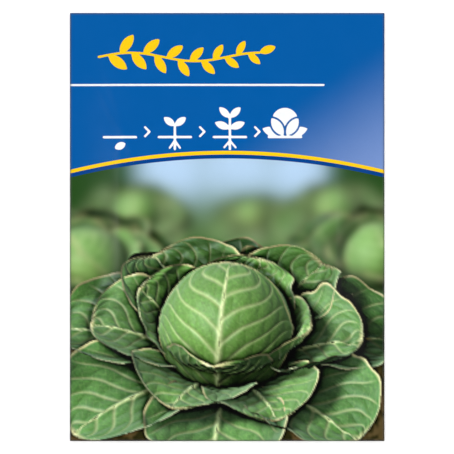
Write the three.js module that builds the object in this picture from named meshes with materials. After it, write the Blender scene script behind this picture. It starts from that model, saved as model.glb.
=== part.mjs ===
// A paper seed packet lying on its back: one sheet of coated paper, cut to a blank, folded and glued
// round a flat heat-sealed sachet that holds the seeds.
// Millimetres, +Z up. The printed front faces +Z and the packet's top edge is towards +Y. The origin is
// on the surface that the packet lies on, under the middle of the packet.

import * as THREE from "three";

// Driving dimensions of the folded packet
const packetWidth = 117.5;
const packetHeight = 160;
const paperThickness = 0.15;
const glueGap = 0.1; // between layers that are glued or lie on each other
const edgeThickness = 1.3; // of the packet along its folded edges
const frontSwell = 3.5; // how far the contents lift the middle of the front panel
const frontCrownPower = 4; // the higher, the flatter the top of that swell and the steeper its sides
const swellCentreY = -20; // the contents have slid below the middle

// The blank's flaps
const sideFlapWidth = 12;
const sideFlapTrim = 7; // how much shorter the side flap's free edge is, at each end
const closingFlapDepth = 22;
const closingFlapTrim = 5; // how much narrower the closing flap's free edge is, at each side
const backPanelShortfall = 1.5; // the back panel stops this far below the top fold
const jogLength = 5; // over which the back panel steps up on to the closing flap
const jogClearance = 1; // from the end of that step to the flap's free edge

// The inner sachet
const sachetWidth = 80;
const sachetHeight = 96;
const sachetCentreY = -16;
const filmThickness = 0.1;
const sealWidth = 7;
const sachetSwell = 3.5;
const sachetCrownPower = 6;

// The seeds
const seedCount = 20;
const seedLength = 7.2;
const seedWidth = 3.9;
const seedThickness = 2.7;
const seedFullness = 0.85; // power of the sine in the seed's profile: below 1 it is fuller than an oval
const seedBluntness = 0.2; // how much fatter the blunt end is
const seedSizeSpread = 0.08; // largest change of a seed's size, as a share
const seedSpacing = 4.85; // scale of the spiral that spreads the seeds in one layer
const goldenTurn = Math.PI * (3 - Math.sqrt(5)); // from each seed to the next on that spiral

// The random draw of the seeds' turns and sizes
const drawStart = 7;
const drawFactor = 1664525;
const drawStep = 1013904223;
const drawRange = 2 ** 32;

// Facets
const frontColumns = 20;
const frontRows = 26;
const foldSteps = 6;
const flapSteps = 2;
const jogSteps = 4;
const backFilmCells = 2;
const frontFilmCells = 18;
const seedSides = 12;
const seedRings = 7;
const samePointDigits = 4; // decimals of a millimetre to which points that are one point agree

// Levels of the paper's middle surface, from the lowest layer up
const layerPitch = paperThickness + glueGap;
const backLevel = paperThickness / 2; // the back panel, and beside it the closing flap
const frontEdgeLevel = edgeThickness - paperThickness / 2;

// Folds: half a turn from the front panel's level to the folded layer's level
const endFoldRadius = (frontEdgeLevel - backLevel) / 2;
const frontHalfHeight = (packetHeight - paperThickness) / 2 - endFoldRadius;
const closingFlapEdgeY = frontHalfHeight - closingFlapDepth;

const printedPaper = new THREE.MeshStandardMaterial({ color: "#0a62ac", roughness: 0.35, metalness: 0 });
const laminatedFoil = new THREE.MeshStandardMaterial({ color: "#c9ccce", roughness: 0.3, metalness: 0.6 });
const seedCoat = new THREE.MeshStandardMaterial({ color: "#7d6f5c", roughness: 0.6, metalness: 0 });

// The back panel's level: flat on the surface, and a layer higher where the closing flap is under it.
function backPanelLevel(y) {
  const jogEnd = closingFlapEdgeY - jogClearance;
  return backLevel + layerPitch * THREE.MathUtils.smoothstep(y, jogEnd - jogLength, jogEnd);
}

// The side flaps lie on the inside of the back panel.
function sideFlapLevel(y) {
  return backPanelLevel(y) + layerPitch;
}

function sideFoldRadius(y) {
  return (frontEdgeLevel - sideFlapLevel(y)) / 2;
}

function frontHalfWidth(y) {
  return (packetWidth - paperThickness) / 2 - sideFoldRadius(y);
}

// 1 in the middle, 0 with no slope at -1 and 1, and nearly flat between.
function flatCrown(share, power) {
  return (1 - Math.min(1, Math.abs(share)) ** power) ** 2;
}

// How far the contents lift the front panel, at a share of its half width and a height.
function swellOfFront(share, y) {
  const centre = swellCentreY * (1 - (y / frontHalfHeight) ** 2);
  const along = (y - centre) / frontHalfHeight;
  return frontSwell * flatCrown(share, frontCrownPower) * flatCrown(along, frontCrownPower);
}

function evenly(from, to, steps) {
  return Array.from({ length: steps + 1 }, (_, i) => from + ((to - from) * i) / steps);
}

// A sheet of even thickness, made of grids of its middle surface that share the points where they meet.
class Sheet {
  constructor(thickness) {
    this.thickness = thickness;
    this.points = [];
    this.quads = [];
    this.known = new Map();
  }

  indexOf(point) {
    const key = point.toArray().map((value) => value.toFixed(samePointDigits)).join();
    if (!this.known.has(key)) {
      this.known.set(key, this.points.length);
      this.points.push(point);
    }
    return this.known.get(key);
  }

  // Lines run one after another down the sheet, and the points of a line run across it, so that the
  // sheet's outer face is the one that sees the lines run down and the points run to the right.
  addGrid(lines) {
    const at = lines.map((line) => line.map((point) => this.indexOf(point)));
    for (let i = 0; i + 1 < at.length; i++)
      for (let j = 0; j + 1 < at[i].length; j++)
        this.quads.push([at[i][j], at[i + 1][j], at[i + 1][j + 1], at[i][j + 1]]);
  }

  normals() {
    const sums = this.points.map(() => new THREE.Vector3());
    for (const [a, b, c, d] of this.quads) {
      const across = new THREE.Vector3().subVectors(this.points[c], this.points[a]);
      const other = new THREE.Vector3().subVectors(this.points[d], this.points[b]);
      const normal = across.cross(other);
      for (const index of [a, b, c, d]) sums[index].add(normal);
    }
    return sums.map((sum) => sum.normalize());
  }

  // Both faces, split into the same triangles, and a rim along each edge that only one quad has.
  geometry() {
    const normals = this.normals();
    const count = this.points.length;
    const faces = [1, -1].map((side) =>
      this.points.map((p, i) => p.clone().addScaledVector(normals[i], (side * this.thickness) / 2)),
    );
    const triangles = [];
    const edges = new Map();
    for (const quad of this.quads) {
      const [a, b, c, d] = quad;
      triangles.push(a, b, c, a, c, d);
      triangles.push(a + count, c + count, b + count, a + count, d + count, c + count);
      quad.forEach((from, i) => {
        const to = quad[(i + 1) % 4];
        const back = to + "," + from;
        if (edges.has(back)) edges.delete(back);
        else edges.set(from + "," + to, [from, to]);
      });
    }
    for (const [from, to] of edges.values())
      triangles.push(from, from + count, to + count, from, to + count, to);
    const geometry = new THREE.BufferGeometry();
    geometry.setFromPoints(faces.flat());
    geometry.setIndex(triangles);
    geometry.computeVertexNormals();
    return geometry;
  }
}

// Points of a half-turn fold, as [outward, up] from where the fold leaves the front panel's level.
function foldPoints(radius) {
  return evenly(0, Math.PI, foldSteps).map((angle) => [
    radius * Math.sin(angle),
    radius * (Math.cos(angle) - 1),
  ]);
}

// One side of a line across the front: the fold round the packet's edge, then the side flap inside.
function sideFoldLine(side, y) {
  const edge = frontHalfWidth(y);
  const fold = foldPoints(sideFoldRadius(y)).map(
    ([out, up]) => new THREE.Vector3(side * (edge + out), y, frontEdgeLevel + up),
  );
  const flap = evenly(0, sideFlapWidth, flapSteps).map((inward) => {
    const flapY = y * (1 - (sideFlapTrim / frontHalfHeight) * (inward / sideFlapWidth));
    return new THREE.Vector3(side * (edge - inward), flapY, sideFlapLevel(flapY));
  });
  return [...fold, ...flap.slice(1)];
}

function frontLine(y) {
  return evenly(-1, 1, frontColumns).map(
    (share) => new THREE.Vector3(share * frontHalfWidth(y), y, frontEdgeLevel + swellOfFront(share, y)),
  );
}

// A straight line across the packet.
function crossLine(halfWidth, y, level) {
  return evenly(-1, 1, frontColumns).map((share) => new THREE.Vector3(share * halfWidth, y, level));
}

// The fold at the top (end 1) or bottom (end -1) edge, from the front panel round to the back.
function endFoldLines(end) {
  const halfWidth = frontHalfWidth(end * frontHalfHeight);
  return foldPoints(endFoldRadius).map(([out, up]) =>
    crossLine(halfWidth, end * (frontHalfHeight + out), frontEdgeLevel + up),
  );
}

function closingFlapLines() {
  const halfWidth = frontHalfWidth(frontHalfHeight);
  return evenly(0, closingFlapDepth, flapSteps).map((down) =>
    crossLine(halfWidth - (closingFlapTrim * down) / closingFlapDepth, frontHalfHeight - down, backLevel),
  );
}

function backPanelLines() {
  const jogEnd = closingFlapEdgeY - jogClearance;
  const heights = [
    -frontHalfHeight,
    ...evenly(jogEnd - jogLength, jogEnd, jogSteps),
    frontHalfHeight - backPanelShortfall,
  ];
  return heights.map((y) => crossLine(frontHalfWidth(-frontHalfHeight), y, backPanelLevel(y)));
}

// The folded blank: front panel with its side flaps, then what folds over its top and bottom edges.
function paperPacket() {
  const sheet = new Sheet(paperThickness);
  const frontHeights = evenly(frontHalfHeight, -frontHalfHeight, frontRows);
  sheet.addGrid(
    frontHeights.map((y) => [
      ...sideFoldLine(-1, y).reverse(),
      ...frontLine(y).slice(1, -1),
      ...sideFoldLine(1, y),
    ]),
  );
  sheet.addGrid([...closingFlapLines().slice(1).reverse(), ...endFoldLines(1).reverse()]);
  sheet.addGrid([...endFoldLines(-1), ...backPanelLines().slice(1)]);
  const mesh = new THREE.Mesh(sheet.geometry(), printedPaper);
  mesh.name = "paper_packet";
  return mesh;
}

// The sachet's films in the sachet's own frame: the middle of its back film's lower face.
const backFilmLevel = filmThickness / 2;
const sealLevel = backFilmLevel + filmThickness + glueGap;

function sachetFrontLevel(x, y) {
  const across = x / (sachetWidth / 2 - sealWidth);
  const along = y / (sachetHeight / 2 - sealWidth);
  const crown = flatCrown(across, sachetCrownPower) * flatCrown(along, sachetCrownPower);
  return sealLevel + sachetSwell * crown;
}

// A film over the sachet's outline, with lines along both edges of its seal.
function film(name, cells, level) {
  const stations = (size) => {
    const inside = size / 2 - sealWidth;
    return [-size / 2, ...evenly(-inside, inside, cells), size / 2];
  };
  const sheet = new Sheet(filmThickness);
  sheet.addGrid(
    stations(sachetHeight)
      .reverse()
      .map((y) => stations(sachetWidth).map((x) => new THREE.Vector3(x, y, level(x, y)))),
  );
  const mesh = new THREE.Mesh(sheet.geometry(), laminatedFoil);
  mesh.name = name;
  return mesh;
}

// A plump seed lying on its side, blunt end towards +X, its lowest point at the origin's level.
function seedGeometry(size) {
  const profile = evenly(0, Math.PI, seedRings).map((angle, i) => {
    const swell = 1 + seedBluntness * Math.cos(angle);
    const onAxis = i === 0 || i === seedRings;
    const radius = onAxis ? 0 : (seedWidth / 2) * Math.sin(angle) ** seedFullness * swell;
    return new THREE.Vector2(radius * size, (-seedLength / 2) * Math.cos(angle) * size);
  });
  const geometry = new THREE.LatheGeometry(profile, seedSides);
  geometry.rotateZ(Math.PI / 2);
  geometry.scale(1, 1, seedThickness / seedWidth);
  geometry.computeBoundingBox();
  geometry.translate(0, 0, -geometry.boundingBox.min.z);
  return geometry;
}

// A repeatable random draw between 0 and 1.
function randomDraw(start) {
  let state = start;
  return () => {
    state = (Math.imul(state, drawFactor) + drawStep) >>> 0;
    return state / drawRange;
  };
}

// Seeds spread in one layer over a round bed, each turned its own way and clear of the others.
function seeds() {
  const draw = randomDraw(drawStart);
  return Array.from({ length: seedCount }, (_, i) => {
    const size = 1 - 2 * seedSizeSpread * draw();
    const reach = seedSpacing * Math.sqrt(i + 0.5);
    const turn = i * goldenTurn;
    const mesh = new THREE.Mesh(seedGeometry(size), seedCoat);
    mesh.name = "seed_" + String(i + 1).padStart(2, "0");
    mesh.position.set(reach * Math.cos(turn), reach * Math.sin(turn), filmThickness + glueGap);
    mesh.rotation.z = 2 * Math.PI * draw();
    return mesh;
  });
}

// The sachet with its seeds, lying on the inside of the packet's back panel.
function filledSachet() {
  const sachet = new THREE.Group();
  sachet.position.set(0, sachetCentreY, paperThickness + glueGap);
  sachet.add(film("sachet_back_film", backFilmCells, () => backFilmLevel));
  sachet.add(film("sachet_front_film", frontFilmCells, sachetFrontLevel));
  sachet.add(...seeds());
  return sachet;
}

const seedPacket = new THREE.Group();
seedPacket.add(paperPacket(), filledSachet());

export default seedPacket;
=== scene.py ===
import math

import bpy
import numpy as np
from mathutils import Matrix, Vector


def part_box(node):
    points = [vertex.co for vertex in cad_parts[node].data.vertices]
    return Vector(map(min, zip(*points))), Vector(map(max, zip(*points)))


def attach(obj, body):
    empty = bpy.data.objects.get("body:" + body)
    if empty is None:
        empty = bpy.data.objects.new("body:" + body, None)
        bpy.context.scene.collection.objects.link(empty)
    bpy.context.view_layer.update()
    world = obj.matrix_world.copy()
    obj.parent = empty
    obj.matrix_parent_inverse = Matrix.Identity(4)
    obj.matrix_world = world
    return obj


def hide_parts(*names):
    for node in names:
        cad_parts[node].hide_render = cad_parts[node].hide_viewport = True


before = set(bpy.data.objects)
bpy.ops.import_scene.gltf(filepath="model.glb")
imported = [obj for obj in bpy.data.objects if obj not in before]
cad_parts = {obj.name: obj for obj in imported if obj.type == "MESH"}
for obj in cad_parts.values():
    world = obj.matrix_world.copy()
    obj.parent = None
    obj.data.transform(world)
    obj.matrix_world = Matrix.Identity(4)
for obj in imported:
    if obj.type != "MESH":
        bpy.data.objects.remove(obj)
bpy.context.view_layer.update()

mm = 0.001
scene = bpy.context.scene


# Helpers

# sRGB hex to linear values: each channel by the sRGB curve
def linearOf(hexColour):
    value = np.array([int(hexColour[i:i + 2], 16) for i in (1, 3, 5)]) / 255
    return np.where(value <= 0.04045, value / 12.92, ((value + 0.055) / 1.055) ** 2.4)


# linear colour with an alpha of 1, as sockets take it
def inkOf(hexColour):
    return (*linearOf(hexColour), 1.0)


# a colour on the straight line from one to another, by a share for each point
def blended(first, second, share):
    return first + (second - first) * share[..., None]


# 0 below low, 1 above high, and a cubic ease between
def smooth(low, high, value):
    share = np.clip((value - low) / (high - low), 0, 1)
    return share * share * (3 - 2 * share)


# sum of sine waves with drawn directions, lengths and phases, with a spread of about 1
def waves(rng, x, y, count, shortest, longest):
    total = np.zeros(np.broadcast(x, y).shape)
    for turn, number, phase in zip(rng.uniform(0, 2 * np.pi, count),
                                   2 * np.pi / rng.uniform(shortest, longest, count),
                                   rng.uniform(0, 2 * np.pi, count)):
        total += np.sin(number * (x * np.cos(turn) + y * np.sin(turn)) + phase)
    return total / math.sqrt(count / 2)


# Gaussian blur of an image, as a product of spectra, with mirrored edges
def blur(image, radius):
    pad = int(3 * radius) + 1
    wide = np.pad(image, [(pad, pad), (pad, pad)] + [(0, 0)] * (image.ndim - 2), mode="symmetric")
    down = np.fft.fftfreq(wide.shape[0])[:, None]
    across = np.fft.rfftfreq(wide.shape[1])[None, :]
    kernel = np.exp(-2 * (np.pi * radius) ** 2 * (across ** 2 + down ** 2))
    kernel = kernel.reshape(kernel.shape + (1,) * (image.ndim - 2))
    spectrum = np.fft.rfft2(wide, axes=(0, 1)) * kernel
    return np.fft.irfft2(spectrum, s=wide.shape[:2], axes=(0, 1))[pad:-pad, pad:-pad]


# unit normals of a grid of points: the cross product of its two directions
def normalsOf(points):
    down, across = np.gradient(points, axis=(0, 1))
    normals = np.cross(down, across)
    return normals / np.maximum(np.linalg.norm(normals, axis=-1, keepdims=True), 1e-12)


# adds a shader node, sets its properties and inputs, and links the sockets that inputs name
def addNode(tree, kind, inputs=None, **settings):
    node = tree.nodes.new("ShaderNode" + kind)
    for key, value in settings.items():
        setattr(node, key, value)
    for key, value in (inputs or {}).items():
        if isinstance(value, bpy.types.NodeSocket):
            tree.links.new(value, node.inputs[key])
        else:
            node.inputs[key].default_value = value
    return node


# a material with an empty node tree
def newMaterial(name):
    material = bpy.data.materials.new(name)
    material.use_nodes = True
    material.node_tree.nodes.clear()
    return material, material.node_tree


# kind and field of an attribute by how many numbers a point has
attributeKinds = {1: ("FLOAT", "value"), 3: ("FLOAT_VECTOR", "vector"), 4: ("FLOAT_COLOR", "color")}
sharpAngle = 40  # degrees between two faces past which their edge is sharp


# a mesh object from points in millimetres, face lists, named point attributes and places on its texture
def newPiece(name, points, faces, material, replaced, attributes=None, spots=None):
    mesh = bpy.data.meshes.new(name)
    mesh.from_pydata((points * mm).tolist(), [], faces)
    if spots is not None:
        bakeLayer = mesh.uv_layers.new(name="OFBake", do_init=False)
        bakeLayer.uv.foreach_set("vector", spots.astype(np.float32).ravel())
    for key, values in (attributes or {}).items():
        kind, field = attributeKinds[1 if values.ndim == 1 else values.shape[1]]
        layer = mesh.attributes.new(key, kind, "POINT")
        layer.data.foreach_set(field, values.astype(np.float32).ravel())
    mesh.polygons.foreach_set("use_smooth", np.ones(len(mesh.polygons), bool))
    mesh.set_sharp_from_angle(angle=math.radians(sharpAngle))
    mesh.materials.append(material)
    mesh.validate()
    piece = bpy.data.objects.new(name, mesh)
    scene.collection.objects.link(piece)
    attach(piece, "root")
    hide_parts(replaced)
    print(f"{name}: {sum(len(face) - 2 for face in faces)} triangles")
    return piece


# Camera, light and floor

# metres, and the sensor in millimetres. The image is that wide at that distance
view = dict(distance=0.75, imageWidth=0.1694, centre=(-0.00008, 0.0), aimHeight=0.002, sensor=36.0)

cameraData = bpy.data.cameras.new("packshotCamera")
cameraData.sensor_fit = "HORIZONTAL"
cameraData.sensor_width = view["sensor"]
cameraData.lens = view["sensor"] * view["distance"] / view["imageWidth"]
camera = bpy.data.objects.new("packshotCamera", cameraData)
camera.location = (*view["centre"], view["distance"] + view["aimHeight"])
scene.collection.objects.link(camera)
scene.camera = camera
scene.view_settings.view_transform = "Standard"
scene.view_settings.look = "None"

studio = dict(
    # name, place, width and height in metres, and watts
    softboxes=[("leftSoftbox", (-0.78, 0.12, 0.72), (0.7, 0.9), 6.4),
               ("rightSoftbox", (0.78, 0.12, 0.72), (0.7, 0.9), 5.76),
               ("topSoftbox", (0.0, 0.95, 0.75), (0.9, 0.5), 6.5),
               ("lowSoftbox", (0.0, -0.95, 0.75), (0.9, 0.5), 5.2)],
    backdrop="#ffffff", worldGlow=0.03,
    card=("#fbfbfa", "#fefefd"), cardHalf=4.0,
    # the card's glow beside the object, and the distances over which it grows to 1
    nearGlow=0.2, glowFrom=0.25, glowTo=0.8,
)


# a rectangular lamp that looks at the origin
def softLight(name, place, size, power):
    data = bpy.data.lights.new(name, "AREA")
    data.shape = "RECTANGLE"
    data.size, data.size_y = size
    data.energy = power
    lamp = bpy.data.objects.new(name, data)
    lamp.location = place
    lamp.rotation_euler = (-lamp.location).to_track_quat("-Z", "Y").to_euler()
    scene.collection.objects.link(lamp)


for softbox in studio["softboxes"]:
    softLight(*softbox)

# the backdrop is pale to the eye, and lights the object with less than that
world = bpy.data.worlds.new("paleStudio")
scene.world = world
world.use_nodes = True
tree = world.node_tree
tree.nodes.clear()
seen = addNode(tree, "LightPath").outputs["Is Camera Ray"]
glow = addNode(tree, "MapRange", {"Value": seen, "To Min": studio["worldGlow"], "To Max": 1.0})
sky = addNode(tree, "Background", {"Color": inkOf(studio["backdrop"]), "Strength": glow.outputs["Result"]})
addNode(tree, "OutputWorld", {"Surface": sky.outputs["Background"]})

# matt white card, lit from behind as on a light table: almost even, with a faint mottle and weak shadows.
# Far from the object it glows more, so that it runs into the backdrop
floorMaterial, tree = newMaterial("mattWhiteCard")
place = addNode(tree, "TexCoord").outputs["Object"]
mottle = addNode(tree, "TexNoise", {"Vector": place, "Scale": 1 / (25 * mm), "Detail": 3.0})
darker, paler = (inkOf(hexColour) for hexColour in studio["card"])
tone = addNode(tree, "Mix", {0: mottle.outputs["Fac"], 6: darker, 7: paler}, data_type="RGBA")
away = addNode(tree, "VectorMath", {0: place}, operation="LENGTH").outputs["Value"]
far = addNode(tree, "MapRange", {"Value": away, "From Min": studio["glowFrom"], "From Max": studio["glowTo"],
                                 "To Min": studio["nearGlow"]})
card = addNode(tree, "BsdfPrincipled",
               {"Base Color": tone.outputs[2], "Roughness": 0.9, "Specular IOR Level": 0.2,
                "Emission Color": inkOf(studio["backdrop"]), "Emission Strength": far.outputs["Result"]})
addNode(tree, "OutputMaterial", {"Surface": card.outputs["BSDF"]})
floorMesh = bpy.data.meshes.new("floor")
half = studio["cardHalf"]
corners = [(-half, -half, 0), (half, -half, 0), (half, half, 0), (-half, half, 0)]
floorMesh.from_pydata(corners, [], [(0, 1, 2, 3)])
floorMesh.materials.append(floorMaterial)
floor = bpy.data.objects.new("floor", floorMesh)
scene.collection.objects.link(floor)
print("camera, light and floor are set")


# The picture on the front: a garden of cabbages, worked out as points of their leaves

garden = dict(
    left=-58.75, right=58.75, low=-85.0, high=32.0,  # millimetres on the panel
    coarseCell=0.5, fineCell=0.2,  # of what is out of focus, and of the plant in front
    tilt=40,  # degrees above the ground that the eye looks from
    light=(-0.55, -0.35, 0.78),
    exposure=0.53, contrast=1.3, middle=0.45, darkest=0.03, displayPower=2.2,
    sharpen=0.8, sharpenRadius=0.6,
    # the background, in soft patches of four tones: glow, colour, and each patch's place and radius
    backdrop=dict(
        sky=(1.6, "#bfd8f4", [(-22, 22, 14), (4, 20, 15), (27, 20, 12)]),
        hedge=(1.0, "#466c40", [(-48, 20, 16), (50, 20, 14), (-54, 4, 14), (52, 4, 14)]),
        meadow=(1.0, "#84a270", [(-26, 4, 12), (4, 4, 14), (30, 4, 12)]),
        grass=(1.0, "#88a54a", [(-50, -28, 16), (52, -26, 14)]),
    ),
    patchReach=0.75, evenTone="#6f8f5a", evenWeight=0.15,
    # bare ground: where it starts, how fast it takes over, its share, the sizes and the relief of its crumbs
    soil=dict(top=-22.0, fade=14.0, share=0.85, crumbs=(0.5, 1.1, 2.8), crumbGain=3.5, relief=(-2.5, 4.5),
              dark="#463829", light="#6e5a44", draw=31),
    # plants out of focus, furthest first: draw, place, scale, turn, softness
    farPlants=[(14, (9, 4), 0.22, 4.0, 2.6), (11, (-34, 5), 0.32, 0.3, 2.2), (12, (40, 6), 0.32, 1.9, 2.4),
               (13, (-52, -14), 0.56, 2.5, 1.2), (15, (56, -12), 0.54, 0.9, 1.3)],
    farSteps=110, farGain=1.05,
    nearPlant=(21, (0, -38), 1.0, 0.35), nearSteps=430, nearSoftness=0.7,  # softness in cells
)
cabbage = dict(
    # whorls from the ground up: leaves, length, half width, start of the midrib, its slopes at foot and tip
    whorls=[(7, 60.0, 28.0, 8.0, 24, -16), (6, 46.0, 25.0, 10.0, 48, 2), (4, 37.0, 23.0, 14.0, 70, 44)],
    footLevel=-21.0, veinPairs=8,
    cup=0.34, rimWave=1.1, bulge=0.42, groove=0.2,  # lifts of an outer leaf's blade
    scatter=dict(size=0.08, rise=5, droop=6, turn=0.15),  # how far leaves of a whorl differ
    # leaves of the head, outermost first: turn, slope at the tip, spread, all in degrees
    head=[(-118, 116, 76), (-38, 122, 74), (70, 128, 74), (170, 120, 70), (-80, 100, 70)],
    headRadius=25.0, headStep=0.045, headFoot=-60, headVeinPairs=9,
    headBulge=0.28, headGroove=0.15, headRib=0.7,
    skin=0.1, skinGrain=1.5, skinGain=5, skinDraw=3,  # fine speckle of the leaves
)
leafInks = dict(deep="#2c5426", blade="#5a8a3f", heart="#a5bb5c", vein="#d2dea4", rim="#d6c99a",
                bloom="#a9c2a8", sheen="#eefaff")
leafVein = dict(slant=0.38, bend=1.2, midrib=0.055, side=0.015, sideTaper=0.008, netting=9, fine=0.45,
                blisters=4.5)
leafLight = dict(sky=0.5, sun=1.5, through=0.35, bloom=0.06, bloomRim=0.5, shine=0.16, skyShine=0.035,
                 # how hollows darken: radius, strength and the depth that gives all of it
                 hollows=[(0.8, 0.30, 2.0), (2.5, 0.42, 6.0), (7.0, 0.40, 16.0)],
                 shadowCell=0.5, shadowReach=(-3, -1, 1, 3), shadowDepth=(0.8, 2.6))


# u runs from a leaf's foot to its tip and v across it from -1 to 1
def leafGrid(steps):
    return np.meshgrid(np.linspace(0, 1, steps), np.linspace(-1, 1, steps), indexing="ij")


# shares of midrib, slanting side veins and fine veins, each a bell curve of the distance to its line, and the
# bulge of the blade between them, a product of sines
def leafVeins(u, v, pairs):
    side = np.abs(v)
    slant = leafVein["slant"] * side ** leafVein["bend"] - 0.012 * np.sin(9 * side + 5 * u)
    phase = (u - slant) * pairs + np.where(v > 0, 0.5, 0)
    toVein = np.abs(phase - np.round(phase)) / pairs
    midrib = np.exp(-(side / (leafVein["midrib"] * (1.15 - u))) ** 2)
    sideWidth = leafVein["side"] - leafVein["sideTaper"] * side
    sideVein = np.exp(-(toVein / sideWidth) ** 2) * smooth(1.02, 0.75, side)
    netting = np.abs(np.sin(np.pi * (leafVein["netting"] * side + 0.35 * np.sin(2 * np.pi * phase + 18 * u))))
    fine = leafVein["fine"] * np.exp(-(netting / 0.2) ** 2)
    blister = np.abs(np.sin(np.pi * leafVein["blisters"] * side + 1.3 * np.floor(phase)))
    return midrib, sideVein, fine, np.sin(np.pi * (phase % 1)) * blister


# a patch of a ball along a great circle from below its middle over its top, with the rim rolled out
def headLeaf(rng, radius, tipSlope, spread, steps):
    u, v = leafGrid(steps)
    alpha = np.radians(cabbage["headFoot"] + (tipSlope - cabbage["headFoot"]) * u)
    half = np.sqrt(np.clip(1 - (2 * np.clip(u - 0.5, 0, 1)) ** 3, 0, 1)) * (0.5 + 0.5 * smooth(0, 0.45, u))
    rim = np.maximum(np.abs(v), smooth(0.5, 1.0, u)) ** 6
    wave = waves(rng, u, v * 0.5, 6, 0.17, 0.5) * smooth(1.0, 0.9, u)
    midrib, sideVein, fine, bulge = leafVeins(u, v, cabbage["headVeinPairs"])
    reach = radius * (1 + rim * (0.02 + 0.006 * wave))
    reach = reach + cabbage["headBulge"] * bulge - cabbage["headGroove"] * sideVein
    reach = reach + cabbage["headRib"] * midrib * (1 - u)
    beta = v * half * np.radians(spread) + 0.02 * wave * rim
    outward = reach * np.cos(beta)
    place = [outward * np.cos(alpha), reach * np.sin(beta), outward * np.sin(alpha)]
    return u, v, place, (midrib, sideVein, fine)


# a midrib that leaves the stem steeply and bends outward, carrying a cupped blade with a waved rim
def outerLeaf(rng, length, width, start, rise, droop, steps):
    u, v = leafGrid(steps)
    slope = np.radians(rise + (droop - rise) * u ** 0.9)
    step = length / (steps - 1)
    out = start + np.cumsum(np.cos(slope) * step, axis=0)
    up = cabbage["footLevel"] + np.cumsum(np.sin(slope) * step, axis=0)
    half = width * np.sqrt(np.clip(1 - (np.clip(u - 0.55, 0, 1) / 0.45) ** 2.4, 0, 1))
    half = half * (0.3 + 0.7 * smooth(-0.05, 0.6, u))
    wave = waves(rng, u, v * 0.28, 7, 0.17, 0.6) * smooth(1.0, 0.88, u)
    rim = np.maximum(np.abs(v), smooth(0.6, 1.0, u)) ** 3
    midrib, sideVein, fine, bulge = leafVeins(u, v, cabbage["veinPairs"])
    lift = cabbage["cup"] * half * v * v + cabbage["rimWave"] * rim * wave + cabbage["bulge"] * bulge
    lift = lift - cabbage["groove"] * sideVein + midrib * (1.1 - u)
    place = [out - np.sin(slope) * lift, half * v * (1 - 0.08 * v * v) + 0.55 * rim * wave,
             up + np.cos(slope) * lift]
    return u, v, place, (midrib, sideVein, fine)


# a leaf turned round the stem: its points, normals and colours as rows. The blade's green wanders in patches
# with a fine speckle, and the heart's yellow, the veins and the rim are laid over it by their shares
def leafRows(rng, leaf, turn, tone, heart):
    u, v, (out, across, up), (midrib, sideVein, fine) = leaf
    cos, sin = math.cos(turn), math.sin(turn)
    points = np.stack([out * cos - across * sin, out * sin + across * cos, up], axis=-1)
    patch = 0.5 + 0.33 * waves(rng, u, v * 0.7, 5, 0.25, 0.9)
    inks = {key: linearOf(value) for key, value in leafInks.items()}
    colour = blended(inks["deep"], inks["blade"], np.clip(0.55 + 0.45 * patch + tone, 0, 1.3))
    noise = np.random.default_rng(cabbage["skinDraw"]).standard_normal(u.shape)
    speckle = blur(noise, cabbage["skinGrain"]) * cabbage["skinGain"]
    colour = colour * (1 + cabbage["skin"] * speckle)[..., None]
    pale = 0.75 * np.clip(0.95 * midrib + 0.55 * sideVein + 0.22 * fine, 0, 1)
    edge = 0.7 * smooth(0.955, 1.0, np.maximum(np.abs(v), u))
    for ink, share in (("heart", heart * (1 - 0.5 * u)), ("vein", pale), ("rim", edge)):
        colour = blended(colour, inks[ink], share)
    return [rows.reshape(-1, 3).astype(np.float32) for rows in (points, normalsOf(points), colour)]


# all leaves of a cabbage: whorls, each turned on by a golden angle, and the head, yellower inwards
def cabbageRows(draw, steps):
    rng = np.random.default_rng(draw)
    goldenTurn = math.pi * (3 - math.sqrt(5))
    scatter = cabbage["scatter"]
    least, most = 1 - scatter["size"], 1 + scatter["size"]
    leaves = []
    turn = 0.0
    for level, (count, length, width, start, rise, droop) in enumerate(cabbage["whorls"]):
        turn += goldenTurn
        for _ in range(count):
            turn += 2 * math.pi / count
            leaf = outerLeaf(rng, length * rng.uniform(least, most), width * rng.uniform(least, most), start,
                             rise + rng.uniform(-scatter["rise"], scatter["rise"]),
                             droop + rng.uniform(-scatter["droop"], scatter["droop"]), steps)
            tone = rng.uniform(-0.3, 0.1) + 0.08 * level
            turned = turn + rng.uniform(-scatter["turn"], scatter["turn"])
            leaves.append(leafRows(rng, leaf, turned, tone, 0.04 + 0.08 * level))
    for level, (turn, tipSlope, spread) in enumerate(cabbage["head"]):
        radius = cabbage["headRadius"] * (1 - cabbage["headStep"] * level)
        leaf = headLeaf(rng, radius, tipSlope, spread, steps)
        leaves.append(leafRows(rng, leaf, math.radians(turn), 0.2, 0.24 + 0.1 * level))
    return [np.concatenate(rows) for rows in zip(*leaves)]


# row number of the point with the greatest height in each cell, or -1 where there is none
def topmost(cells, height, count):
    order = np.argsort(height, kind="stable")
    found = np.full(count, -1, np.int64)
    found[cells[order]] = order
    return found


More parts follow.
